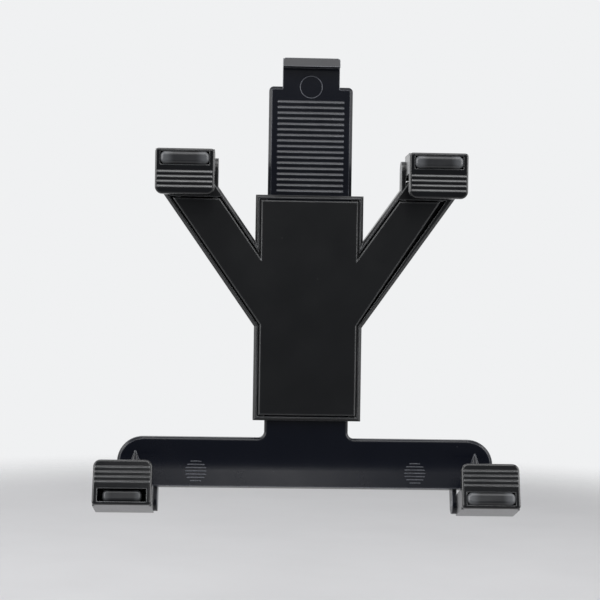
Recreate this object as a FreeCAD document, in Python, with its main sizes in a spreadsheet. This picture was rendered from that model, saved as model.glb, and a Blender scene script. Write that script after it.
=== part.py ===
"""Spring-loaded tablet holder with four hook claws, on a rear ball socket.

Millimetres. X is to the right and Z up as the tablet's user sees the holder, and Y points
away from that user. The origin is the centre of the rear ball socket, behind the middle of
the sleeve. A depth is a distance in front of that centre, so y = -depth.
"""
import FreeCAD, Part
import os
import re
import Sketcher

os.makedirs("parts", exist_ok=True)
doc = FreeCAD.newDocument("tablet_holder")
sheet = doc.addObject("Spreadsheet::Sheet", "sizes")

# Driving dimensions
SIZES = {
    "sleeve_width": 43.0,
    "sleeve_height": 90.0,
    "arm_lean": 35.2,
    "arm_width": 19.7,
    "arm_root_drop": 7.6,
    "arm_end_inset": 2.2,
    "panel_end_height": 43.1,
    "rim_width": 1.5,
    "rim_chamfer": 1.0,
    "rim_slip": 1.2,
    "panel_slip": 2.4,
    "groove_width": 0.7,
    "socket_standoff": 11.0,
    "housing_depth": 12.2,
    "floor_thickness": 2.0,
    "cover_thickness": 2.4,
    "panel_rise": 0.8,
    "panel_chamfer": 0.4,
    "slider_width": 33.6,
    "slider_thickness": 3.7,
    "slider_clearance": 0.3,
    "slider_front_gap": 1.2,
    "tongue_shoulder_height": 88.8,
    "tongue_corner_radius": 1.8,
    "tongue_edge_chamfer": 1.2,
    "neck_width": 22.8,
    "lip_top_height": 100.0,
    "lip_height": 3.7,
    "lip_depth": 3.2,
    "lip_chamfer": 0.8,
    "lip_slope": 1.6,
    "rib_top_height": 82.6,
    "rib_pitch": 2.23,
    "rib_width": 0.8,
    "rib_length": 26.4,
    "rib_rise": 0.5,
    "bar_gap": 7.2,
    "bar_height": 19.1,
    "bar_flat_height": 6.8,
    "bar_bend_radius": 20.0,
    "bar_edge_round": 1.4,
    "bar_corner_chamfer": 1.0,
    "bar_length": 150.6,
    "bar_end_radius": 10.0,
    "bar_root_radius": 2.4,
    "bar_tilt": 17.0,
    "buttress_offset": 68.0,
    "buttress_radius": 1.6,
    "buttress_tip_radius": 0.2,
    "buttress_tip_height": 4.0,
    "buttress_start": 5.6,
    "claw_width": 22.9,
    "claw_length": 17.7,
    "claw_plate_thickness": 3.0,
    "claw_reach": 20.0,
    "claw_crown": 5.5,
    "claw_block_height": 8.0,
    "claw_wall": 1.8,
    "claw_roof": 1.2,
    "claw_tip_radius": 2.8,
    "claw_crown_radius": 1.3,
    "claw_edge_round": 0.9,
    "claw_rib_start": 3.5,
    "claw_rib_pitch": 1.9,
    "claw_rib_width": 0.7,
    "claw_rib_rise": 0.4,
    "claw_rib_margin": 0.9,
    "upper_claw_offset": 37.8,
    "upper_pin_height": 55.5,
    "lower_claw_offset": 60.1,
    "bar_pin_gap": 6.7,
    "pin_depth": 19.0,
    "pin_radius": 1.2,
    "pin_clearance": 0.05,
    "ear_radius": 4.0,
    "ear_thickness": 1.8,
    "ear_root": 12.0,
    "hub_radius": 3.8,
    "hub_width": 12.6,
    "hub_inset": 0.9,
    "hub_gap": 0.4,
    "hub_side_gap": 0.3,
    "claw_front_gap": 0.4,
    "window_width": 18.9,
    "window_height": 5.1,
    "window_margin": 1.2,
    "pad_gap": 0.1,
    "pad_rise": 1.1,
    "pad_corner_radius": 2.0,
    "pad_edge_round": 1.5,
    "short_pad_width": 15.1,
    "short_pad_recess": 1.0,
    "spring_radius": 1.4,
    "spring_wire_radius": 0.4,
    "spring_offset": 8.0,
    "spring_floor_gap": 0.2,
    "spring_anchor_height": 39.0,
    "spring_hook_height": 8.0,
    "post_radius": 0.8,
    "post_clearance": 0.2,
    "post_end_gap": 0.4,
    "screw_radius": 1.1,
    "screw_fit": 0.05,
    "screw_head_radius": 2.0,
    "screw_head_height": 1.3,
    "boss_radius": 2.6,
    "boss_inner_run": 18.0,
    "boss_outer_run": 36.0,
    "screw_length": 8.0,
    "ball_radius": 8.5,
    "ball_clearance": 0.1,
    "cup_wall": 3.4,
    "cup_rear": 4.0,
    "flange_height": 30.0,
    "flange_thickness": 3.0,
    "flange_corner_radius": 3.0,
    "flange_screw_spread": 22.0,
    "nut_wall": 4.0,
    "nut_clearance": 0.3,
    "nut_length": 7.0,
    "nut_grip_radius": 1.2,
}
for row, (alias, value) in enumerate(SIZES.items(), 1):
    sheet.set(f"A{row}", alias)
    sheet.set(f"B{row}", str(value))
    sheet.setAlias(f"B{row}", alias)
doc.recompute()

# Sizes that follow from the driving ones, written with the same words
DERIVED = {
    "sleeve_half": "sleeve_width / 2",
    "sleeve_top": "sleeve_height / 2",
    "arm_root": "-arm_root_drop",
    "arm_end_height": "upper_pin_height - hub_radius - hub_gap",
    "arm_limit": "upper_claw_offset + claw_width - arm_end_inset",
    "arm_notch": "arm_root + arm_width / sin(arm_lean)",
    "floor_depth": "socket_standoff + floor_thickness",
    "rim_depth": "socket_standoff + housing_depth",
    "panel_depth": "rim_depth + panel_rise",
    "cover_back_depth": "panel_depth - cover_thickness",
    "cover_inset": "rim_width + groove_width",
    "slider_half": "slider_width / 2",
    "channel_half": "slider_half + slider_clearance",
    "slider_depth": "cover_back_depth - slider_front_gap",
    "slider_back_depth": "slider_depth - slider_thickness",
    "channel_back_depth": "slider_back_depth - slider_clearance",
    "rail_width": "sleeve_half - rim_width / 2 - channel_half",
    "bar_half": "bar_length / 2",
    "bar_top_drop": "sleeve_top + bar_gap",
    "bar_bend_drop": "bar_top_drop + bar_flat_height",
    "bar_ramp_drop": "bar_bend_drop + bar_bend_radius * sin(bar_tilt)",
    "bar_bottom_drop": "bar_top_drop + bar_height",
    "buttress_top_drop": "bar_top_drop + buttress_start",
    "lower_pin_drop": "bar_bottom_drop + bar_pin_gap",
    "bar_root_top": "-sleeve_top",
    "spring_depth": "floor_depth + spring_floor_gap + spring_radius",
    "hook_radius": "post_radius + post_clearance + spring_wire_radius",
    "boss_height": "cover_back_depth - floor_depth",
    "cup_radius": "ball_radius + ball_clearance + cup_wall",
    "flange_screw_offset": "(sleeve_half + channel_half) / 2",
    "hub_start": "hub_inset",
    "hub_end": "hub_start + hub_width",
    "ear_inner_end": "hub_start - hub_side_gap",
    "ear_outer_start": "hub_end + hub_side_gap",
    "pin_start": "ear_inner_end - ear_thickness",
    "pin_length": "hub_width + 2 * hub_side_gap + 2 * ear_thickness",
    "claw_face": "claw_reach + claw_plate_thickness",
    "claw_back": "ear_radius + claw_front_gap",
    "claw_tip": "claw_length - claw_crown",
    "claw_skirt": "claw_block_height - claw_crown",
    "window_top": "claw_crown - window_margin",
    "window_start": "(claw_width - window_width) / 2",
    "bar_bend_reach": "bar_bend_radius * (1 - cos(bar_tilt))",
    "bar_reach": "bar_bend_reach + (bar_bottom_drop - bar_ramp_drop) * tan(bar_tilt)",
}


def expand(text):
    """Write an expression in the sheet's own names, with the derived sizes spelled out."""
    def spell(match):
        word = match.group(0)
        if word in SIZES:
            return f"sizes.{word}"
        if word in DERIVED:
            return f"({expand(DERIVED[word])})"
        return word
    return re.sub(r"[a-z_]{4,}", spell, str(text))


def number(text):
    """The present value of an expression."""
    return float(sheet.evalExpression(expand(text)))


def bind(thing, **settings):
    """Tie properties of an object to expressions; x, y and z are its place."""
    for name, text in settings.items():
        target = f".Placement.Base.{name}" if name in "xyz" else name
        thing.setExpression(target, expand(text))
    return thing


def box(name, x, depth, z, width, thickness, height):
    """A block from x to the right, from the given depth backwards, and from z up."""
    block = doc.addObject("Part::Box", name)
    return bind(block, Length=width, Width=thickness, Height=height, x=x, y=f"-({depth})", z=z)


TURNS = {
    "x": FreeCAD.Rotation(FreeCAD.Vector(0, 1, 0), 90),
    "y": FreeCAD.Rotation(FreeCAD.Vector(1, 0, 0), -90),
    "z": FreeCAD.Rotation(),
}


def rod(name, axis, x, y, z, radius, length):
    """A cylinder that starts at the given point and runs along a positive axis."""
    cylinder = doc.addObject("Part::Cylinder", name)
    cylinder.Placement.Rotation = TURNS[axis]
    return bind(cylinder, Radius=radius, Height=length, x=x, y=y, z=z)


def join(name, pieces):
    """One solid from pieces that overlap."""
    fused = doc.addObject("Part::MultiFuse", name)
    fused.Shapes = pieces
    fused.Refine = True
    return fused


def carve(name, base, tools):
    """The base without the tools' volume."""
    cut = doc.addObject("Part::Cut", name)
    cut.Base = base
    cut.Tool = tools[0] if len(tools) == 1 else join(f"{name}_tools", tools)
    cut.Refine = True
    return cut


def soften(name, base, radius, wanted, kind="Part::Fillet"):
    """Round or chamfer the edges of the base whose middle point and direction are wanted."""
    doc.recompute()
    size = number(radius)
    edges = []
    for index, edge in enumerate(base.Shape.Edges, 1):
        start, end = edge.firstVertex().Point, edge.lastVertex().Point
        if wanted((start + end) * 0.5, end - start):
            edges.append((index, size, size))
    softened = doc.addObject(kind, name)
    softened.Base = base
    softened.Edges = edges
    return softened


def near(value, text):
    """True where a number equals an expression's value."""
    return abs(value - number(text)) < 1e-3


def along(direction, axis):
    """True where an edge runs along an axis."""
    return abs(abs(getattr(direction, axis)) - direction.Length) < 1e-6


def plate(name, role, start, length, points, midplane=False):
    """A body with one padded outline; XZ outlines pad towards the front."""
    body = doc.addObject("PartDesign::Body", name)
    sketch = body.newObject("Sketcher::SketchObject", f"{name}_outline")
    plane = next(item for item in body.Origin.OriginFeatures if item.Role == role)
    sketch.AttachmentSupport = [(plane, "")]
    sketch.MapMode = "FlatFace"
    sketch.setExpression(".AttachmentOffset.Base.z", expand(start))
    places = [FreeCAD.Vector(number(across), number(up), 0) for across, up in points]
    for index, place in enumerate(places):
        following = places[(index + 1) % len(places)]
        sketch.addGeometry(Part.LineSegment(place, following), False)
    for index, (across, up) in enumerate(points):
        following = (index + 1) % len(points)
        sketch.addConstraint(Sketcher.Constraint("Coincident", index, 2, following, 1))
        for kind, text, value in (
            ("DistanceX", across, places[index].x),
            ("DistanceY", up, places[index].y),
        ):
            rule = sketch.addConstraint(Sketcher.Constraint(kind, -1, 1, index, 1, value))
            sketch.setExpression(f"Constraints[{rule}]", expand(text))
    pad = body.newObject("PartDesign::Pad", f"{name}_pad")
    pad.Profile = sketch
    pad.Midplane = midplane
    pad.setExpression("Length", expand(length))
    doc.recompute()
    return body


def mirrored(points):
    """A right half, listed from the top down, closed with its mirror image."""
    return points + [(f"-({across})", up) for across, up in reversed(points)]


def holder_outline(inset, end, slip="", limit=""):
    """The sleeve and its level-ended arms, moved inwards by the inset.

    The slip narrows the right arm's end, and the limit cuts both arms off upright on the outside.
    """
    side = f"(sleeve_half - {inset})"
    notch = f"(arm_notch - {inset} / tan(arm_lean / 2))"
    root = f"(arm_root + {inset} * tan(arm_lean / 2))"
    arm_end = f"{side} + ({end} - {root}) * tan(arm_lean)"
    outer_end = [(arm_end, end)]
    if limit:
        outer_end = [(limit, end), (limit, f"{root} + ({limit} - {side}) / tan(arm_lean)")]
    points = mirrored([
        (side, f"sleeve_top - {inset}"),
        (side, notch),
        (f"{side} + ({end} - {notch}) * tan(arm_lean)", end),
        *outer_end,
        (side, root),
        (side, f"-(sleeve_top - {inset})"),
    ])
    if slip:
        points[points.index((arm_end, end))] = (f"{arm_end} - {slip}", end)
    return points


def arm_point(side, run):
    """A point on an arm's middle line, by its run from the sleeve's side."""
    middle = "(arm_notch + arm_root) / 2"
    return f"{side} * (sleeve_half + {run} * sin(arm_lean) - rim_width)", f"{middle} + {run} * cos(arm_lean)"


def finish(thing, label):
    """Give a finished sub-part the name of its file."""
    thing.Label = label
    finished.append(thing)
    return thing


finished = []
SIDES = {"left": -1, "right": 1}
LEVELS = {"upper": 1, "lower": -1}
PIN_HEIGHTS = {"upper": "upper_pin_height", "lower": "-lower_pin_drop"}
FORWARD_TILT = FreeCAD.Vector(-1, 0, 0)


def span(side, start, end):
    """The lower end of a range that grows away from the middle on either side."""
    return start if side > 0 else f"-({end})"


def claw_x(level, side, start, end):
    """The lower end of a range measured outwards from a claw's inner edge."""
    return span(side, f"{level}_claw_offset + {start}", f"{level}_claw_offset + {end}")


def lean(thing, level, x="0"):
    """Set a piece that was built about its hinge pin in place, tilted with the cross bar below."""
    if level == "lower":
        thing.Placement.Rotation = FreeCAD.Rotation(FORWARD_TILT, number("bar_tilt"))
        thing.setExpression(".Placement.Rotation.Angle", expand("bar_tilt"))
    return bind(thing, x=x, y="-pin_depth", z=PIN_HEIGHTS[level])


def ears(level, side):
    """Two ears that carry a hinge pin, with the pin's hole."""
    way = LEVELS[level]
    name = f"{level}_{side}_ears"
    solids = []
    for place, start in (("inner", "pin_start"), ("outer", "ear_outer_start")):
        x = claw_x(level, SIDES[side], start, f"{start} + ear_thickness")
        solids.append(box(
            f"{name}_{place}_root", x, "ear_radius", span(way, "-ear_root", "0"),
            "ear_thickness", "2 * ear_radius", "ear_root",
        ))
        solids.append(rod(f"{name}_{place}_end", "x", x, "0", "0", "ear_radius", "ear_thickness"))
    x = claw_x(level, SIDES[side], "pin_start", "pin_start + pin_length")
    hole = rod(f"{name}_hole", "x", x, "0", "0", "pin_radius + pin_clearance", "pin_length")
    return lean(carve(name, join(f"{name}_solid", solids), [hole]), level)


# Rear housing: a tray of the holder's whole outline, with the slider's channel through it
shell = plate("housing_shell", "XZ_Plane", "socket_standoff", "housing_depth",
              holder_outline("0", "arm_end_height", limit="arm_limit"))
shell = soften("housing_rim", shell, "rim_chamfer",
               lambda middle, way: near(middle.y, "-rim_depth") and near(way.y, "0"), "Part::Chamfer")
hollow = plate("housing_hollow", "XZ_Plane", "floor_depth", "housing_depth",
               holder_outline("rim_width", "(panel_end_height + groove_width)", "rim_slip"))
tray = carve("housing_tray", shell, [hollow])
tray_pieces = [tray]
for side, sign in SIDES.items():
    tray_pieces.append(box(
        f"{side}_rail", span(sign, "channel_half", "channel_half + rail_width"), "cover_back_depth",
        "-(sleeve_top - rim_width / 2)", "rail_width", "cover_back_depth - floor_depth + floor_thickness / 2",
        "2 * sleeve_top - rim_width",
    ))
    tray_pieces.append(rod(
        f"{side}_anchor_post", "y", f"{sign} * spring_offset", "-(slider_back_depth - post_end_gap)",
        "spring_anchor_height", "post_radius",
        "slider_back_depth - post_end_gap - floor_depth + floor_thickness / 2",
    ))
    tray_pieces.append(ears("upper", side))
channel = box("slider_channel", "-channel_half", "cover_back_depth", "-sleeve_top", "2 * channel_half",
              "cover_back_depth - channel_back_depth", "2 * sleeve_top")
tray_cuts = [channel]
screw_places = [arm_point(sign, run) for sign in SIDES.values()
                for run in ("boss_inner_run", "boss_outer_run")]
for index, (x, z) in enumerate(screw_places):
    tray_cuts.append(rod(f"housing_hole_{index}", "y", x, "-floor_depth", z, "screw_radius + screw_fit",
                         "floor_thickness"))
flange_places = [(f"{sign} * flange_screw_offset", f"{up} * flange_screw_spread / 2")
                 for sign in SIDES.values() for up in LEVELS.values()]
for index, (x, z) in enumerate(flange_places):
    start = "-(socket_standoff - flange_thickness + screw_length)"
    tray_cuts.append(rod(f"flange_hole_{index}", "y", x, start, z, "screw_radius + screw_fit",
                         "screw_length - flange_thickness"))
finish(carve("rear_housing", join("housing_solid", tray_pieces), tray_cuts), "rear_housing")

# Front cover: the raised panel inside the rim, with bosses for the screws from behind
panel = plate("cover_panel", "XZ_Plane", "cover_back_depth", "cover_thickness",
              holder_outline("cover_inset", "panel_end_height", "panel_slip"))
panel = soften("cover_edges", panel, "panel_chamfer",
               lambda middle, way: near(middle.y, "-panel_depth") and near(way.y, "0"), "Part::Chamfer")
bosses = [rod(f"boss_{index}", "y", x, "-cover_back_depth - cover_thickness / 2", z, "boss_radius",
              "boss_height + cover_thickness / 2") for index, (x, z) in enumerate(screw_places)]
boss_holes = [rod(f"boss_hole_{index}", "y", x, "-(socket_standoff + screw_length)", z,
                  "screw_radius + screw_fit", "screw_length")
              for index, (x, z) in enumerate(screw_places)]
finish(carve("front_cover", join("cover_solid", [panel] + bosses), boss_holes), "front_cover")

# Slider: tongue and stem in one plate, the thumb lip, the ribs and the bent cross bar
tongue = plate("tongue_plate", "XZ_Plane", "slider_back_depth", "slider_thickness", mirrored([
    ("neck_width / 2", "lip_top_height"),
    ("neck_width / 2", "tongue_shoulder_height"),
    ("slider_half", "tongue_shoulder_height"),
    ("slider_half", "bar_root_top"),
]))
tongue = soften("tongue_corners", tongue, "tongue_corner_radius", lambda middle, way: along(way, "y")
                and near(abs(middle.x), "slider_half") and near(middle.z, "tongue_shoulder_height"))
tongue = soften("tongue_edges", tongue, "tongue_edge_chamfer", lambda middle, way: along(way, "z")
                and near(abs(middle.x), "slider_half") and near(middle.y, "-slider_depth"), "Part::Chamfer")
lip = plate("lip_block", "YZ_Plane", "0", "neck_width", [
    ("-slider_back_depth", "lip_top_height - lip_height"),
    ("-(slider_depth + lip_depth)", "lip_top_height - lip_height"),
    ("-(slider_depth + lip_depth - lip_slope)", "lip_top_height"),
    ("-slider_back_depth", "lip_top_height"),
], midplane=True)
lip = soften("lip_corners", lip, "lip_chamfer", lambda middle, way: along(way, "y")
             and near(middle.z, "lip_top_height"), "Part::Chamfer")


def wedge(name, start, length, root, face, middle, width, rise, midplane=False):
    """A grip rib: its front slopes from the face at the top to its full rise at the bottom."""
    return plate(name, "YZ_Plane", start, length, [
        (f"-({root})", f"{middle} + {width} / 2"),
        (f"-({face})", f"{middle} + {width} / 2"),
        (f"-({face} + {rise})", f"{middle} - {width} / 2"),
        (f"-({root})", f"{middle} - {width} / 2"),
    ], midplane)


RIB_COUNT = 17
ribs = [wedge(f"tongue_rib_{index}", "0", "rib_length", "slider_depth - slider_thickness / 2", "slider_depth",
              f"rib_top_height - {index} * rib_pitch", "rib_width", "rib_rise", midplane=True)
        for index in range(RIB_COUNT)]
flat = plate("bar_flat", "XZ_Plane", "slider_back_depth", "slider_thickness", mirrored([
    ("slider_half", "bar_root_top"),
    ("slider_half", "-bar_top_drop"),
    ("bar_half", "-bar_top_drop"),
    ("bar_half", "-bar_bend_drop"),
]))
flat = soften("bar_root_corners", flat, "bar_root_radius", lambda middle, way: along(way, "y")
              and near(abs(middle.x), "slider_half") and near(middle.z, "-bar_top_drop"))
flat = soften("bar_edges", flat, "bar_edge_round", lambda middle, way: near(middle.y, "-slider_depth")
              and near(way.y, "0") and not near(middle.x, "0") and not near(abs(middle.x), "bar_half"))
BACK, DOWN, LEFT = FreeCAD.Vector(0, 1, 0), FreeCAD.Vector(0, 0, -1), FreeCAD.Vector(-1, 0, 0)
BEND_TURN = FreeCAD.Rotation(BACK, DOWN, LEFT, "XYZ")


def bend_sector(name, radius, angle):
    """A slice of a cylinder along the bar, about the bend's axis in front of the plate."""
    sector = doc.addObject("Part::Cylinder", name)
    sector.Placement.Rotation = BEND_TURN
    return bind(sector, Radius=radius, Angle=angle, Height="bar_length", x="bar_half",
                y="-(slider_depth + bar_bend_radius)", z="-bar_bend_drop")


bend = carve("bar_bend", bend_sector("bend_outside", "bar_bend_radius + slider_thickness", "bar_tilt"),
             [bend_sector("bend_inside", "bar_bend_radius", "360")])
ramp = plate("bar_ramp", "YZ_Plane", "0", "bar_length", [
    ("-slider_depth - bar_bend_reach", "-bar_ramp_drop"),
    ("-slider_depth - bar_bend_reach + slider_thickness * cos(bar_tilt)",
     "-bar_ramp_drop - slider_thickness * sin(bar_tilt)"),
    ("-slider_depth - bar_reach + slider_thickness * cos(bar_tilt)",
     "-bar_bottom_drop - slider_thickness * sin(bar_tilt)"),
    ("-slider_depth - bar_reach", "-bar_bottom_drop"),
], midplane=True)


def corner_waste(side, sign):
    """What is cut off a top corner of the bar: a block less the rounded and chamfered corner."""
    x = f"{sign} * (bar_half - bar_end_radius)"
    z = "-(bar_top_drop + bar_end_radius)"
    block = box(f"{side}_corner_block", span(sign, "bar_half - bar_end_radius", "bar_half + bar_end_radius"),
                "slider_depth + 2 * bar_corner_chamfer", z, "2 * bar_end_radius",
                "slider_thickness + 4 * bar_corner_chamfer", "2 * bar_end_radius")
    behind = rod(f"{side}_corner_round", "y", x, "-(slider_depth - bar_corner_chamfer)", z, "bar_end_radius",
                 "slider_thickness + 4 * bar_corner_chamfer")
    front = doc.addObject("Part::Cone", f"{side}_corner_cone")
    front.Placement.Rotation = TURNS["y"]
    bind(front, Radius1="bar_end_radius - 2 * bar_corner_chamfer", Radius2="bar_end_radius",
         Height="2 * bar_corner_chamfer", x=x, y="-(slider_depth + bar_corner_chamfer)", z=z)
    return carve(f"{side}_corner_waste", block, [behind, front])


bar = carve("cross_bar", join("bar_solid", [flat, bend, ramp]),
            [corner_waste(side, sign) for side, sign in SIDES.items()])
slider_pieces = [tongue, lip, bar] + ribs
for side, sign in SIDES.items():
    slider_pieces.append(rod(
        f"{side}_hook_post", "y", f"{sign} * spring_offset", "-slider_back_depth - slider_thickness / 2",
        "spring_hook_height", "post_radius",
        "slider_back_depth + slider_thickness / 2 - floor_depth - post_end_gap",
    ))
    slider_pieces.append(rod(f"{side}_buttress", "z", f"{sign} * buttress_offset", "-slider_depth",
                             "-bar_bottom_drop", "buttress_radius",
                             "bar_bottom_drop - buttress_top_drop - buttress_tip_height"))
    tip = doc.addObject("Part::Cone", f"{side}_buttress_tip")
    slider_pieces.append(bind(tip, Radius1="buttress_radius", Radius2="buttress_tip_radius",
                              Height="buttress_tip_height", x=f"{sign} * buttress_offset", y="-slider_depth",
                              z="-buttress_top_drop - buttress_tip_height"))
    slider_pieces.append(ears("lower", side))
finish(join("slider", slider_pieces), "slider")

# Tension springs between the tray's posts and the slider's posts
for side, sign in SIDES.items():
    x = f"{sign} * spring_offset"
    coil_start = "spring_hook_height + hook_radius"
    coil_length = "spring_anchor_height - spring_hook_height - 2 * hook_radius"
    outside = rod(f"{side}_coil", "z", x, "-spring_depth", coil_start, "spring_radius", coil_length)
    inside = rod(f"{side}_coil_core", "z", x, "-spring_depth", coil_start,
                 "spring_radius - 2 * spring_wire_radius", coil_length)
    loops = []
    for end, z in (("anchor", "spring_anchor_height"), ("hook", "spring_hook_height")):
        loop = doc.addObject("Part::Torus", f"{side}_{end}_loop")
        loop.Placement.Rotation = TURNS["y"]
        loops.append(bind(loop, Radius1="hook_radius", Radius2="spring_wire_radius", x=x, y="-spring_depth",
                          z=z))
    coil = carve(f"{side}_coil_tube", outside, [inside])
    finish(join(f"{side}_spring", [coil] + loops), f"{side}_spring")


CLAW_RIB_COUNT = 4


def claw(level, side):
    """A hook: hub on the pin, hollow block forwards, and the ribbed front plate with its window."""
    way = LEVELS[level]
    sign = SIDES[side]
    name = f"{level}_{side}_claw"

    def slab(part, across, forward, outward):
        """A block by its ranges outwards from the inner edge, forwards and outwards from the pin."""
        return box(f"{name}_{part}", claw_x(level, sign, *across), forward[1], span(way, *outward),
                   f"({across[1]}) - ({across[0]})", f"({forward[1]}) - ({forward[0]})",
                   f"({outward[1]}) - ({outward[0]})")

    front = slab("plate", ("0", "claw_width"), ("claw_reach", "claw_face"), ("-claw_tip", "claw_crown"))
    tip_z = f"{way} * -claw_tip"
    front = soften(f"{name}_tip_corners", front, "claw_tip_radius",
                   lambda middle, run: along(run, "y") and near(middle.z, tip_z))
    front = soften(f"{name}_crown_corners", front, "claw_crown_radius",
                   lambda middle, run: along(run, "y") and near(middle.z, f"{way} * claw_crown"))
    front = soften(f"{name}_rim", front, "claw_edge_round",
                   lambda middle, run: near(middle.y, "-claw_face") and near(run.y, "0"))
    block = slab("block", ("0", "claw_width"), ("claw_back", "claw_reach"), ("-claw_skirt", "claw_crown"))
    neck = slab("neck", ("hub_start", "hub_end"), ("0", "claw_back"), ("-claw_skirt", "hub_radius"))
    hub_x = claw_x(level, sign, "hub_start", "hub_end")
    hub = rod(f"{name}_hub", "x", hub_x, "0", "0", "hub_radius", "hub_width")
    solids = [front, block, neck, hub]
    for index in range(CLAW_RIB_COUNT):
        solids.append(wedge(
            f"{name}_rib_{index}", claw_x(level, sign, "claw_rib_margin", "claw_width - claw_rib_margin"),
            "claw_width - 2 * claw_rib_margin", "claw_reach", "claw_face",
            f"{-way} * (claw_rib_start + {index} * claw_rib_pitch)", "claw_rib_width", "claw_rib_rise",
        ))
    cavity = slab("cavity", ("claw_wall", "claw_width - claw_wall"), ("claw_back + claw_wall", "claw_reach"),
                  ("-(claw_skirt - claw_roof)", "claw_crown - claw_roof"))
    window = slab("window", ("window_start", "window_start + window_width"), ("claw_reach", "claw_face"),
                  ("window_top - window_height", "window_top"))
    hole = rod(f"{name}_hole", "x", hub_x, "0", "0", "pin_radius + pin_clearance", "hub_width")
    finish(lean(carve(name, join(f"{name}_solid", solids), [cavity, window, hole]), level), name)


def pin(level, side):
    """The hinge pin through two ears and a claw's hub."""
    name = f"{level}_{side}_pin"
    x = claw_x(level, SIDES[side], "pin_start", "pin_start + pin_length")
    finish(rod(name, "x", x, "-pin_depth", PIN_HEIGHTS[level], "pin_radius", "pin_length"), name)


def pad(level, side):
    """The rounded grip bar in a claw's window; the lower left one is short and set back."""
    way = LEVELS[level]
    name = f"{level}_{side}_pad"
    short = (level, side) == ("lower", "left")
    width = "short_pad_width" if short else "(window_width - 2 * pad_gap)"
    face = "claw_face - short_pad_recess" if short else "claw_face + pad_rise"
    start = f"claw_width / 2 - {width} / 2"
    bar = box(f"{name}_bar", claw_x(level, SIDES[side], start, f"{start} + {width}"), face,
              span(way, "window_top - window_height + pad_gap", "window_top - pad_gap"),
              width, f"{face} - claw_reach", "window_height - 2 * pad_gap")
    bar = soften(f"{name}_corners", bar, "pad_corner_radius", lambda middle, run: along(run, "y"))
    bar = soften(name, bar, "pad_edge_round",
                 lambda middle, run: near(middle.y, f"-({face})") and near(run.y, "0"))
    finish(lean(bar, level), name)


for level in LEVELS:
    for side in SIDES:
        claw(level, side)
        pin(level, side)
        pad(level, side)


def screw(name, x, seat, z):
    """A pan head on its seat, with the shank running forwards."""
    head = rod(f"{name}_head", "y", x, f"-({seat})", z, "screw_head_radius", "screw_head_height")
    shank = rod(f"{name}_shank", "y", x, f"-({seat}) - screw_length", z, "screw_radius",
                "screw_length + screw_head_height / 2")
    return join(name, [head, shank])


def group(name, solids):
    """Identical fasteners, kept as separate solids in one sub-part."""
    together = doc.addObject("Part::Compound", name)
    together.Links = solids
    finish(together, name)


group("housing_screws", [screw(f"housing_screw_{index}", x, "socket_standoff", z)
                         for index, (x, z) in enumerate(screw_places)])
group("socket_screws", [screw(f"socket_screw_{index}", x, "socket_standoff - flange_thickness", z)
                        for index, (x, z) in enumerate(flange_places)])

# Ball socket: a flange on the tray's back with a cup for the ball, open to the rear
flange = box("flange_plate", "-sleeve_half", "socket_standoff", "-flange_height / 2", "sleeve_width",
             "flange_thickness", "flange_height")
flange = soften("flange_corners", flange, "flange_corner_radius", lambda middle, way: along(way, "y"))
cup = rod("cup_wall_solid", "y", "0", "-socket_standoff", "0", "cup_radius", "socket_standoff + cup_rear")
ball_space = doc.addObject("Part::Sphere", "ball_space")
bind(ball_space, Radius="ball_radius + ball_clearance")
flange_holes = [rod(f"flange_bore_{index}", "y", x, "-socket_standoff", z, "screw_radius + screw_fit",
                    "flange_thickness") for index, (x, z) in enumerate(flange_places)]
finish(carve("ball_socket", join("socket_solid", [flange, cup]), [ball_space] + flange_holes), "ball_socket")

# Lock nut: a grooved ring round the cup
nut_start = "-(socket_standoff - flange_thickness - nut_clearance)"
ring = rod("nut_ring", "y", "0", nut_start, "0", "cup_radius + nut_clearance + nut_wall", "nut_length")
bore = rod("nut_bore", "y", "0", nut_start, "0", "cup_radius + nut_clearance", "nut_length")
GRIP_COUNT = 12
nut_reach = "(cup_radius + nut_clearance + nut_wall)"
grips = [rod(f"nut_grip_{index}", "y", f"{nut_reach} * cos({index} * 360 / {GRIP_COUNT})", nut_start,
             f"{nut_reach} * sin({index} * 360 / {GRIP_COUNT})", "nut_grip_radius", "nut_length")
         for index in range(GRIP_COUNT)]
finish(carve("lock_nut", ring, [bore] + grips), "lock_nut")

doc.recompute()
for thing in doc.Objects:
    if "Invalid" in thing.State or "Error" in thing.State:
        raise RuntimeError(f"{thing.Name} failed: {thing.State}")
for thing in finished:
    if thing.Shape.isNull() or not thing.Shape.isValid():
        raise RuntimeError(f"{thing.Label} has no valid shape")
    thing.Shape.exportStep(f"parts/{thing.Label}.step")
    box_size = thing.Shape.BoundBox
    print(f"{thing.Label}: {len(thing.Shape.Solids)} solids, {thing.Shape.Volume:.0f} mm3, "
          f"{box_size.XLength:.1f} x {box_size.YLength:.1f} x {box_size.ZLength:.1f} mm")
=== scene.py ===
# %% [markdown]
# A tablet holder is a few black mouldings that slide and hinge on each other. The CAD frame already
# holds every one of them at its real size, so this lesson dresses the frame: it adds the fine
# moulded marks, gives each material its surface, and sets up the camera and a soft studio.

# %% Load the frame
import bpy
import numpy as np
from mathutils import Matrix, Vector


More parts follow.
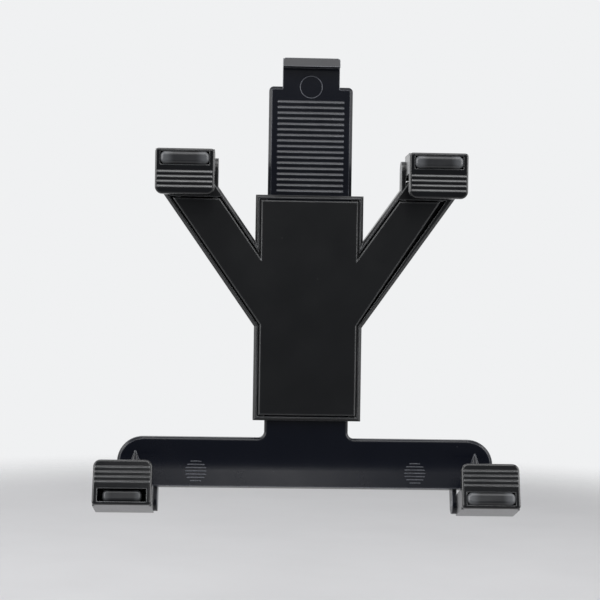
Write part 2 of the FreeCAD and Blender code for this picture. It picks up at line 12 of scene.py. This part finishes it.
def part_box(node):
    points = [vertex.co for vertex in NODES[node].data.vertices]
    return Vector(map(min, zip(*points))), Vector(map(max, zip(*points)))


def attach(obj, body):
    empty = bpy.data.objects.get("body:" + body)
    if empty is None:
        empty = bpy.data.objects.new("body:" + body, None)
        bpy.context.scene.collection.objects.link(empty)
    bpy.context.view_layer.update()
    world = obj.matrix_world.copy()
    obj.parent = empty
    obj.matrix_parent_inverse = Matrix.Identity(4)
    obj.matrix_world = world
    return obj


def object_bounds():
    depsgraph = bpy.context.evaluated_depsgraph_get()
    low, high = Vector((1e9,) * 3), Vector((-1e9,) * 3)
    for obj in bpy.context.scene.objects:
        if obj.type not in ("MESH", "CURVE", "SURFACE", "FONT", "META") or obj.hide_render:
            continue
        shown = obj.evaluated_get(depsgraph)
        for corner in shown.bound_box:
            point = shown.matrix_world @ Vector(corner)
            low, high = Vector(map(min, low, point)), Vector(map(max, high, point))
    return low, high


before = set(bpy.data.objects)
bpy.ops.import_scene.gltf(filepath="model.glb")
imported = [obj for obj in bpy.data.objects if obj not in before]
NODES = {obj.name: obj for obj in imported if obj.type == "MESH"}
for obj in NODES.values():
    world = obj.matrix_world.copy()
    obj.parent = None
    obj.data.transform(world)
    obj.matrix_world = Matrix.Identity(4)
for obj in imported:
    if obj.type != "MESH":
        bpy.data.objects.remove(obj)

CAD_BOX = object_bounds()
MM = 0.001
print("nodes:", len(NODES), "box in mm:", [round(v / MM, 1) for corner in CAD_BOX for v in corner])

# %% [markdown]
# The photograph looks straight at the holder's front from a little over half a metre, a touch from
# the left and with a slight roll. A long lens from there keeps the sides of the claws just visible,
# as they are on the real picture. The lens is worked out from the picture's width in pixels.

# %% Camera
IMAGE_PIXELS = 600
FOCAL_PIXELS = 1502.0
SENSOR_WIDTH_MM = 36.0
CLIP_START = 10 * MM
CAMERA_DISTANCE = 600 * MM
CAMERA_AIM = Vector((-3.3, -22.0, 3.2)) * MM
CAMERA_AZIMUTH = np.radians(-2.1)
CAMERA_ELEVATION = np.radians(-0.3)
CAMERA_ROLL = np.radians(0.875)


def camera_frame(azimuth, elevation, roll):
    """Axes of a camera that looks back at the aim: right, up and backwards, turned by the roll."""
    level = np.cos(elevation)
    back = Vector((np.sin(azimuth) * level, -np.cos(azimuth) * level, np.sin(elevation)))
    right = Vector((np.cos(azimuth), np.sin(azimuth), 0))
    up = back.cross(right)
    turned_right = right * np.cos(roll) + up * np.sin(roll)
    turned_up = up * np.cos(roll) - right * np.sin(roll)
    return turned_right, turned_up, back


right, up, back = camera_frame(CAMERA_AZIMUTH, CAMERA_ELEVATION, CAMERA_ROLL)
camera_data = bpy.data.cameras.new("front_camera")
camera_data.sensor_width = SENSOR_WIDTH_MM
camera_data.sensor_fit = "HORIZONTAL"
camera_data.lens = FOCAL_PIXELS / IMAGE_PIXELS * SENSOR_WIDTH_MM
camera_data.clip_start = CLIP_START
camera = bpy.data.objects.new("front_camera", camera_data)
camera_turn = Matrix((right, up, back)).transposed().to_4x4()
camera.matrix_world = Matrix.Translation(CAMERA_AIM + back * CAMERA_DISTANCE) @ camera_turn
bpy.context.collection.objects.link(camera)
bpy.context.scene.camera = camera
print("lens in mm:", round(camera_data.lens, 1))

# %% [markdown]
# Every finish is a small node tree. One function adds a node with its values and links.
# The short ones after it name what is asked for again and again: a noise, a sum, a change of range
# and a mix of two colours. Colours are the sRGB hex words that people read off a screen, turned into
# linear light in one place.


# %% Node and colour helpers
def linear(hex_colour):
    """sRGB hex to linear RGBA: divide by 12.92 near black, and a 2.4 power curve above."""
    channels = np.array([int(hex_colour[i:i + 2], 16) for i in (1, 3, 5)]) / 255
    curve = np.where(channels <= 0.04045, channels / 12.92, ((channels + 0.055) / 1.055) ** 2.4)
    return (*curve.tolist(), 1.0)


def give_inputs(tree, node, **inputs):
    """Give a node's inputs values or links: _2 is input 2, and other underscores are spaces."""
    for name, value in inputs.items():
        socket = node.inputs[int(name[1:])] if name[0] == "_" else node.inputs[name.replace("_", " ")]
        if isinstance(value, bpy.types.NodeSocket):
            tree.links.new(value, socket)
        else:
            socket.default_value = value


def add_node(tree, kind, settings=None, **inputs):
    """Add a node, set its own properties and give its inputs values or links."""
    node = tree.nodes.new(kind)
    for name, value in (settings or {}).items():
        setattr(node, name, value)
    give_inputs(tree, node, **inputs)
    return node


def new_material(name):
    """An empty material with its node tree and a Principled shader wired to the output."""
    material = bpy.data.materials.new(name)
    material.use_nodes = True
    tree = material.node_tree
    tree.nodes.clear()
    shader = add_node(tree, "ShaderNodeBsdfPrincipled")
    output = add_node(tree, "ShaderNodeOutputMaterial")
    tree.links.new(shader.outputs["BSDF"], output.inputs["Surface"])
    return material, tree, shader


def per_metre(size_mm):
    """A texture's scale from the real size of its features."""
    return 1.0 / (size_mm * MM)


def object_place(tree):
    """The point being shaded, in the object's own metres."""
    return add_node(tree, "ShaderNodeTexCoord").outputs["Object"]


def noise(tree, place, size_mm, detail):
    """A cloudy value whose patches have a real size."""
    texture = add_node(tree, "ShaderNodeTexNoise", Vector=place, Scale=per_metre(size_mm), Detail=detail)
    return texture.outputs["Fac"]


def cells(tree, place, size_mm):
    """The distance to the nearest of scattered points that lie a real size apart."""
    texture = add_node(tree, "ShaderNodeTexVoronoi", Vector=place, Scale=per_metre(size_mm))
    return texture.outputs["Distance"]


def maths(tree, operation, *values, kind="ShaderNodeMath", output="Value"):
    """One sum on values or sockets."""
    numbered = {f"_{number}": value for number, value in enumerate(values)}
    return add_node(tree, kind, {"operation": operation}, **numbered).outputs[output]


def vector_maths(tree, operation, *values, output="Vector"):
    """One sum on vectors."""
    return maths(tree, operation, *values, kind="ShaderNodeVectorMath", output=output)


def mapped(tree, value, start, end, low, high, smooth=False):
    """A value carried from the range start to end into low to high, evenly or with soft ends."""
    settings = {"interpolation_type": "SMOOTHSTEP"} if smooth else None
    node = add_node(tree, "ShaderNodeMapRange", settings, Value=value, _1=start, _2=end, _3=low, _4=high)
    return node.outputs["Result"]


def mixed_colour(tree, factor, first, second):
    """The colour between two, each a hex colour or a socket, by a factor."""
    ends = [linear(end) if isinstance(end, str) else end for end in (first, second)]
    node = add_node(tree, "ShaderNodeMix", {"data_type": "RGBA"}, Factor=factor, _6=ends[0], _7=ends[1])
    return node.outputs[2]


print("white is", linear("#ffffff"), "and mid grey", round(linear("#808080")[0], 3))

# %% [markdown]
# Black ABS comes out of a polished mould with a satin skin. What the eye sees is the soft sheen, a
# fine orange-peel that breaks it up, edges painted paler as a painted highlight line that is partly
# rubbed wear, and a few specks of dust. The edge mask compares the surface's normal with a rounded one:
# they differ only along edges.

# %% Moulded ABS
NOISE_LOW = 0.3
NOISE_HIGH = 0.7
BEVEL_SAMPLES = 6
EDGE_ROUND_MM = 0.35
EDGE_WEAR_AND_HIGHLIGHT_WIDTH_MM = 0.7
EDGE_WEAR_AND_HIGHLIGHT_NONE = 0.99
EDGE_WEAR_AND_HIGHLIGHT_FULL = 0.80
PEEL_MM = 0.9
PEEL_DETAIL = 3.0
PEEL_STRENGTH = 0.5
SMEAR_MM = 14.0
SMEAR_DETAIL = 5.0
SHEEN_DROP = 0.02
SHEEN_RISE = 0.03
FLECK_SPACING_MM = 7.0
FLECK_SIZE_MM = 0.22
FLECK_CORE = 0.4
FLECK_COVER = 0.35
DUST = "#77787a"
ABS_IOR = 1.53


def rounded_normal(tree, radius_mm):
    """The surface's normal with its edges rounded off by a radius."""
    bevel = add_node(tree, "ShaderNodeBevel", {"samples": BEVEL_SAMPLES}, Radius=radius_mm * MM)
    return bevel.outputs["Normal"]


def moulded_abs(name, colour, edge_wear_and_highlight_colour, roughness, gloss, peel_depth_mm):
    """Injection-moulded ABS: satin black, orange-peel bump, edges painted paler as a painted highlight
    line and partly rubbed wear, sparse dust flecks.
    """
    material, tree, shader = new_material(name)
    place = object_place(tree)
    smear = noise(tree, place, SMEAR_MM, SMEAR_DETAIL)
    peel = noise(tree, place, PEEL_MM, PEEL_DETAIL)
    fleck_edge = FLECK_SIZE_MM / FLECK_SPACING_MM
    fleck = mapped(tree, cells(tree, place, FLECK_SPACING_MM), fleck_edge * FLECK_CORE, fleck_edge,
                   FLECK_COVER, 0.0)
    true_normal = add_node(tree, "ShaderNodeNewGeometry").outputs["Normal"]
    facing = vector_maths(tree, "DOT_PRODUCT", rounded_normal(tree, EDGE_WEAR_AND_HIGHLIGHT_WIDTH_MM), true_normal,
                          output="Value")
    # The paler edge colour is a painted highlight: a bright line painted along every edge, partly rubbed
    # wear as well.
    edge = mapped(tree, facing, EDGE_WEAR_AND_HIGHLIGHT_NONE, EDGE_WEAR_AND_HIGHLIGHT_FULL, 0.0, 1.0)
    edge_wear_and_highlight = mixed_colour(tree, maths(tree, "MULTIPLY", edge, smear), colour, edge_wear_and_highlight_colour)
    sheen = mapped(tree, smear, NOISE_LOW, NOISE_HIGH, roughness - SHEEN_DROP, roughness + SHEEN_RISE)
    bump = add_node(tree, "ShaderNodeBump", Height=peel, Distance=peel_depth_mm * MM,
                    Strength=PEEL_STRENGTH, Normal=rounded_normal(tree, EDGE_ROUND_MM))
    give_inputs(tree, shader, Base_Color=mixed_colour(tree, fleck, edge_wear_and_highlight, DUST), Roughness=sheen,
                Normal=bump.outputs["Normal"], IOR=ABS_IOR, Specular_IOR_Level=gloss)
    return material


# The second colour of each finish is its painted edge highlight, partly rubbed wear.
PANEL_ABS = moulded_abs("abs_satin_moulded", "#090a0c", "#8f9194", roughness=0.30, gloss=0.50,
                        peel_depth_mm=0.010)
SLIDER_ABS = moulded_abs("abs_gloss_moulded", "#070a14", "#8f929b", roughness=0.25, gloss=0.30,
                         peel_depth_mm=0.008)
CLAW_ABS = moulded_abs("abs_claw_moulded", "#08090c", "#9c9ea0", roughness=0.17, gloss=0.50,
                       peel_depth_mm=0.008)
print("ABS finishes:", PANEL_ABS.name, SLIDER_ABS.name, CLAW_ABS.name)

# %% [markdown]
# The grip bars are soft moulded rubber. Rubber is a little greyer than the ABS round it and rougher,
# with a fine bloom on the skin, and the ends of each bar are painted paler as a painted reflection of
# the bright surroundings. The bars stand as far to the left as to the right, so the distance from a
# bar's middle is found from the size of x alone.

# %% Grip rubber
BLOOM_MM = 5.0
BLOOM_DETAIL = 4.0
GRAIN_MM = 0.35
GRAIN_DETAIL = 2.0
GRAIN_DEPTH_MM = 0.015
GRAIN_STRENGTH = 0.6
END_REFLECTION_START_MM = 4.0
END_REFLECTION_FULL_MM = 8.0
SKIN_SMOOTHEST = 0.32
SKIN_ROUGHEST = 0.44
RUBBER_IOR = 1.52


def moulded_rubber(name, colour, bloom_colour, end_reflection_colour, middle):
    """Moulded rubber: charcoal with a cloudy bloom, a fine grain, and ends painted paler as a painted
    reflection.
    """
    material, tree, shader = new_material(name)
    place = object_place(tree)
    bloom = noise(tree, place, BLOOM_MM, BLOOM_DETAIL)
    sideways = add_node(tree, "ShaderNodeSeparateXYZ", Vector=place).outputs["X"]
    # The paler ends are a painted reflection of the bright surroundings on the bar's rounded ends.
    offset = maths(tree, "SUBTRACT", maths(tree, "ABSOLUTE", sideways), middle)
    end_reflection = mapped(tree, maths(tree, "ABSOLUTE", offset), END_REFLECTION_START_MM * MM, END_REFLECTION_FULL_MM * MM, 0.0, 1.0,
                 smooth=True)
    tint = mixed_colour(tree, bloom, colour, bloom_colour)
    skin = mapped(tree, bloom, NOISE_LOW, NOISE_HIGH, SKIN_SMOOTHEST, SKIN_ROUGHEST)
    grain = noise(tree, place, GRAIN_MM, GRAIN_DETAIL)
    bump = add_node(tree, "ShaderNodeBump", Height=grain, Distance=GRAIN_DEPTH_MM * MM,
                    Strength=GRAIN_STRENGTH)
    give_inputs(tree, shader, Base_Color=mixed_colour(tree, end_reflection, tint, end_reflection_colour), Roughness=skin,
                Normal=bump.outputs["Normal"], IOR=RUBBER_IOR)
    return material


RUBBER = {}
for level in ("upper", "lower"):
    low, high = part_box(f"{level}_right_pad")
    # The third colour is the painted reflection on the pad ends.
    RUBBER[level] = moulded_rubber(f"rubber_moulded_{level}", "#151618", "#202124", "#55575a",
                                   (low.x + high.x) / 2)
print("rubber:", [item.name for item in RUBBER.values()])

# %% [markdown]
# Pins, screws and springs are small steel parts. Zinc plate is a bluish grey metal whose crystals
# show as faint patches of different roughness, and drawn wire is brighter.

# %% Plated steel
CRYSTAL_REACH = 0.8
CRYSTAL_ROUGHER = 0.12


def plated_steel(name, colour, crystal_colour, roughness, crystal_mm):
    """Plated steel: a metal whose colour and roughness vary in small crystal patches."""
    material, tree, shader = new_material(name)
    crystal = cells(tree, object_place(tree), crystal_mm)
    skin = mapped(tree, crystal, 0.0, CRYSTAL_REACH, roughness, roughness + CRYSTAL_ROUGHER)
    give_inputs(tree, shader, Base_Color=mixed_colour(tree, crystal, colour, crystal_colour),
                Roughness=skin, Metallic=1.0)
    return material


ZINC_STEEL = plated_steel("steel_zinc_plated", "#8f9296", "#74777c", roughness=0.28, crystal_mm=0.6)
WIRE_STEEL = plated_steel("steel_drawn_wire", "#a9abad", "#8c8f92", roughness=0.22, crystal_mm=0.4)
print("steels:", ZINC_STEEL.name, WIRE_STEEL.name)

# %% [markdown]
# Each CAD node keeps its shape and gets the finish of the piece that it is. The last word of its name
# tells which, and a pad's first word tells its level.

# %% Dress the CAD nodes
FINISHES = {
    "claw": CLAW_ABS, "pin": ZINC_STEEL, "spring": WIRE_STEEL, "screws": ZINC_STEEL,
    "slider": SLIDER_ABS, "housing": PANEL_ABS, "cover": PANEL_ABS, "socket": PANEL_ABS, "nut": CLAW_ABS,
}
for name, node in NODES.items():
    words = name.split("_")
    finish = RUBBER[words[0]] if words[-1] == "pad" else FINISHES[words[-1]]
    node.data.materials.clear()
    node.data.materials.append(finish)
print("dressed", len(NODES), "nodes")

# %% [markdown]
# Small raised marks are left by the mould: a ring where an ejector pin met the tongue, and a round
# patch of fine ridges at each end of the cross bar. Each is a tube swept along a path, sunk half into
# the surface that carries it. A grid of points, one row per step along the path, becomes quads.


# %% Swept tubes
def grid_faces(rows, columns, closed_rows):
    """Quads between neighbouring rows and columns; columns wrap, and rows wrap if closed."""
    row = np.arange(rows if closed_rows else rows - 1)
    column = np.arange(columns)
    first, second = np.meshgrid(row, column, indexing="ij")
    after = (first + 1) % rows
    beside = (second + 1) % columns
    corners = (first * columns + second, first * columns + beside, after * columns + beside,
               after * columns + second)
    return np.stack([corner.ravel() for corner in corners], axis=1)


def add_piece(name, points, faces, material, body):
    """Make a mesh object from whole arrays, with smooth faces, that rides on a body."""
    mesh = bpy.data.meshes.new(name)
    mesh.from_pydata(points.reshape(-1, 3), [], faces)
    mesh.materials.append(material)
    mesh.polygons.foreach_set("use_smooth", np.ones(len(mesh.polygons), bool))
    mesh.validate()
    piece = bpy.data.objects.new(name, mesh)
    bpy.context.collection.objects.link(piece)
    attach(piece, body)
    return piece


SLIDER_FRONT = -20.4 * MM
EJECTOR_HEIGHT = 88.6 * MM
EJECTOR_RADIUS = 4.4 * MM
EJECTOR_LINE = 0.16 * MM
EJECTOR_RISE = 0.07 * MM
EJECTOR_STEPS = 96
EJECTOR_SIDES = 10


def ejector_ring():
    """A ring on the tongue: a circle of the ejector's radius, swept by a flat oval section."""
    turn = np.linspace(0, 2 * np.pi, EJECTOR_STEPS, endpoint=False)[:, None]
    around = np.linspace(0, 2 * np.pi, EJECTOR_SIDES, endpoint=False)[None, :]
    reach = EJECTOR_RADIUS + EJECTOR_LINE * np.cos(around)
    points = np.stack([reach * np.cos(turn), SLIDER_FRONT - EJECTOR_RISE * np.sin(around) + 0 * turn,
                       EJECTOR_HEIGHT + reach * np.sin(turn)], axis=-1)
    return points, grid_faces(EJECTOR_STEPS, EJECTOR_SIDES, True)


points, faces = ejector_ring()
add_piece("ejector_ring", points, faces, SLIDER_ABS, "slider")
print("ejector ring of", len(faces), "faces")

# %% [markdown]
# The cross bar starts flat, bends forward and goes on as a straight slope. The two round patches lie
# across the bend and the slope, so each ridge takes its place and lean from the bar's front at its own
# height. A ridge is a chord of the circle, and its section shrinks to nothing at both ends so that the
# tube closes.

# %% Ridged patches
BEND_START = -59.0 * MM
BEND_RADIUS = 20.0 * MM
BAR_TILT = np.radians(17.0)
PATCH_OFFSET = 43.8 * MM
PATCH_HEIGHT = -65.6 * MM
PATCH_RADIUS = 4.4 * MM
RIDGE_COUNT = 7
RIDGE_STEPS = 24
RIDGE_SIDES = 8
RIDGE_HALF_WIDTH = 0.30 * MM
RIDGE_RISE = 0.18 * MM
TAPER_POWER = 8


def bar_front(height):
    """The bar's front and its lean at a height: flat, then an arc of the bend, then the slope."""
    drop = np.clip(BEND_START - height, 0, None)
    bend_drop = BEND_RADIUS * np.sin(BAR_TILT)
    lean = np.arcsin(np.minimum(drop, bend_drop) / BEND_RADIUS)
    slope_drop = np.clip(drop - bend_drop, 0, None)
    front = SLIDER_FRONT - BEND_RADIUS * (1 - np.cos(lean)) - slope_drop * np.tan(BAR_TILT)
    return front, lean


def ridge(side, level):
    """One ridge: a chord at a level of the circle, swept by a flat oval that closes at both ends."""
    height = PATCH_HEIGHT + level
    front, lean = bar_front(height)
    along = np.linspace(-1, 1, RIDGE_STEPS)[:, None]
    around = np.linspace(0, 2 * np.pi, RIDGE_SIDES, endpoint=False)[None, :]
    taper = np.sqrt(np.clip(1 - along ** TAPER_POWER, 0, None))
    up_slope = RIDGE_HALF_WIDTH * taper * np.cos(around)
    off_slope = RIDGE_RISE * taper * np.sin(around)
    half_chord = np.sqrt(PATCH_RADIUS ** 2 - level ** 2)
    return np.stack([side * PATCH_OFFSET + half_chord * along + 0 * around,
                     front + up_slope * np.sin(lean) - off_slope * np.cos(lean),
                     height + up_slope * np.cos(lean) + off_slope * np.sin(lean)], axis=-1)


def ridged_patch(side):
    """Evenly spaced ridges that fill the circle."""
    levels = (np.arange(RIDGE_COUNT) - (RIDGE_COUNT - 1) / 2) * 2 * PATCH_RADIUS / RIDGE_COUNT
    points = np.stack([ridge(side, level) for level in levels])
    one = grid_faces(RIDGE_STEPS, RIDGE_SIDES, False)
    first_points = np.arange(RIDGE_COUNT) * RIDGE_STEPS * RIDGE_SIDES
    return points, (one[None] + first_points[:, None, None]).reshape(-1, 4)


for label, side in (("left", -1), ("right", 1)):
    points, faces = ridged_patch(side)
    add_piece(f"{label}_ridged_patch", points, faces, SLIDER_ABS, "slider")
    print(label, "ridged patch of", len(faces), "faces")

# %% [markdown]
# The studio is a round sheet of pale paper on a table. The holder hangs over it, high enough for its
# slider to be pulled right out. A square sheet would show its edges, so the paper fades away towards
# its rim by the distance from the middle. It only receives light and shadow and isn't part of the
# holder.

# %% Paper floor
FLOOR_GAP = 64 * MM
PAPER_SOLID = 0.26
PAPER_RADIUS = 0.56
PAPER_CENTRE = (0.0, 0.34, 0.0)
PAPER_ROUGHNESS = 0.9
MOTTLE_MM = 60.0
MOTTLE_DETAIL = 3.0
DISC_SPOKES = 64
DISC_RINGS = 8


def paper(name, colour, mottle_colour):
    """Matt studio paper: pale grey, faintly mottled, fading out between two radii."""
    material, tree, shader = new_material(name)
    place = object_place(tree)
    mottle = noise(tree, place, MOTTLE_MM, MOTTLE_DETAIL)
    tint = mixed_colour(tree, mottle, colour, mottle_colour)
    from_centre = vector_maths(tree, "SUBTRACT", place, PAPER_CENTRE)
    level_part = vector_maths(tree, "MULTIPLY", from_centre, (1, 1, 0))
    reach = vector_maths(tree, "LENGTH", level_part, output="Value")
    fade = mapped(tree, reach, PAPER_SOLID, PAPER_RADIUS, 1.0, 0.0, smooth=True)
    give_inputs(tree, shader, Base_Color=tint, Roughness=PAPER_ROUGHNESS, Alpha=fade)
    return material


def disc(radius, height):
    """A flat disc: rings of points whose radius grows evenly from the middle."""
    reach = np.linspace(0, radius, DISC_RINGS)[:, None]
    turn = np.linspace(0, 2 * np.pi, DISC_SPOKES, endpoint=False)[None, :]
    points = np.stack(np.broadcast_arrays(reach * np.cos(turn), reach * np.sin(turn), height), axis=-1)
    return points + PAPER_CENTRE, grid_faces(DISC_RINGS, DISC_SPOKES, False)[:, ::-1]


points, faces = disc(PAPER_RADIUS, CAD_BOX[0].z - FLOOR_GAP)
floor_mesh = bpy.data.meshes.new("paper_floor")
floor_mesh.from_pydata(points.reshape(-1, 3), [], faces)
floor_mesh.materials.append(paper("paper_matt_studio", "#c9c9cb", "#d1d1d3"))
floor = bpy.data.objects.new("paper_floor", floor_mesh)
bpy.context.collection.objects.link(floor)
print("paper floor of", len(faces), "faces")

# %% [markdown]
# Black plastic is drawn by what it reflects. Two large softboxes stand at the sides and one overhead,
# out of the flat panel's mirror direction, so the front stays dark while every bevel, rib and rounded
# edge catches a line of light. A small strip hangs near where the leaning front of the cross bar
# mirrors it, and a weaker box behind shows the back. The boxes are kept out of the camera's sight.

# %% Lights
HOLDER_CENTRE = (0.0, -0.02, 0.0)
BAR_CENTRE = (0.0, -0.02, -0.066)
SOFTBOXES = {
    "left_softbox": {"place": (-0.85, -0.35, 0.36), "width": 0.8, "height": 0.8, "power": 7.6},
    "right_softbox": {"place": (0.85, -0.35, 0.36), "width": 0.8, "height": 0.8, "power": 7.2},
    "top_softbox": {"place": (0.0, -0.45, 0.85), "width": 0.8, "height": 0.55, "power": 5.0},
    "bar_strip": {"place": (0.0, -0.75, 0.41), "width": 0.11, "height": 0.22, "power": 0.38,
                  "aim": BAR_CENTRE},
    "back_softbox": {"place": (-0.55, 0.85, 0.65), "width": 0.8, "height": 0.8, "power": 3.5},
}


def softbox(name, place, width, height, power, aim=HOLDER_CENTRE):
    """A rectangular lamp that faces its aim."""
    light = bpy.data.lights.new(name, "AREA")
    light.shape = "RECTANGLE"
    light.size = width
    light.size_y = height
    light.energy = power
    lamp = bpy.data.objects.new(name, light)
    lamp.location = place
    lamp.rotation_euler = (Vector(aim) - Vector(place)).to_track_quat("-Z", "Y").to_euler()
    lamp.visible_camera = False
    bpy.context.collection.objects.link(lamp)


for name, values in SOFTBOXES.items():
    softbox(name, **values)
print("lamps:", [item.name for item in bpy.data.lights])

# %% [markdown]
# Round it all is a pale wall, with a grey part straight in front of the holder. The grey part is what
# the black panel mirrors. The wall's brightness depends on the direction only: it follows the
# backward part of the direction, so it stays put when the camera moves. Rays that the camera, a gloss
# or a see-through part sends see the wall itself, and matt surfaces get a plain fill light.

# %% Surroundings
WALL_BACK = "#f0f1f2"
WALL_FRONT = "#6f7174"
GREY_UNTIL = -0.98
PALE_FROM = -0.55
WALL_STRENGTH = 1.0
FILL_STRENGTH = 0.18


def studio_world():
    """A direction gradient for camera, glossy and transmission rays, and an even fill for the rest."""
    world = bpy.data.worlds.new("studio_world")
    world.use_nodes = True
    tree = world.node_tree
    tree.nodes.clear()
    direction = add_node(tree, "ShaderNodeTexCoord").outputs["Generated"]
    backward = add_node(tree, "ShaderNodeSeparateXYZ", Vector=direction).outputs["Y"]
    paleness = mapped(tree, backward, GREY_UNTIL, PALE_FROM, 0.0, 1.0, smooth=True)
    wall = mixed_colour(tree, paleness, WALL_FRONT, WALL_BACK)
    seen = add_node(tree, "ShaderNodeBackground", Color=wall, Strength=WALL_STRENGTH)
    fill = add_node(tree, "ShaderNodeBackground", Color=linear(WALL_BACK), Strength=FILL_STRENGTH)
    ray = add_node(tree, "ShaderNodeLightPath").outputs
    camera_or_gloss = maths(tree, "MAXIMUM", ray["Is Camera Ray"], ray["Is Glossy Ray"])
    shown = maths(tree, "MAXIMUM", camera_or_gloss, ray["Is Transmission Ray"])
    mixed = add_node(tree, "ShaderNodeMixShader", _0=shown, _1=fill.outputs["Background"],
                     _2=seen.outputs["Background"])
    add_node(tree, "ShaderNodeOutputWorld", Surface=mixed.outputs["Shader"])
    return world


bpy.context.scene.world = studio_world()
bpy.context.scene.view_settings.view_transform = "Standard"
print("world:", bpy.context.scene.world.name)
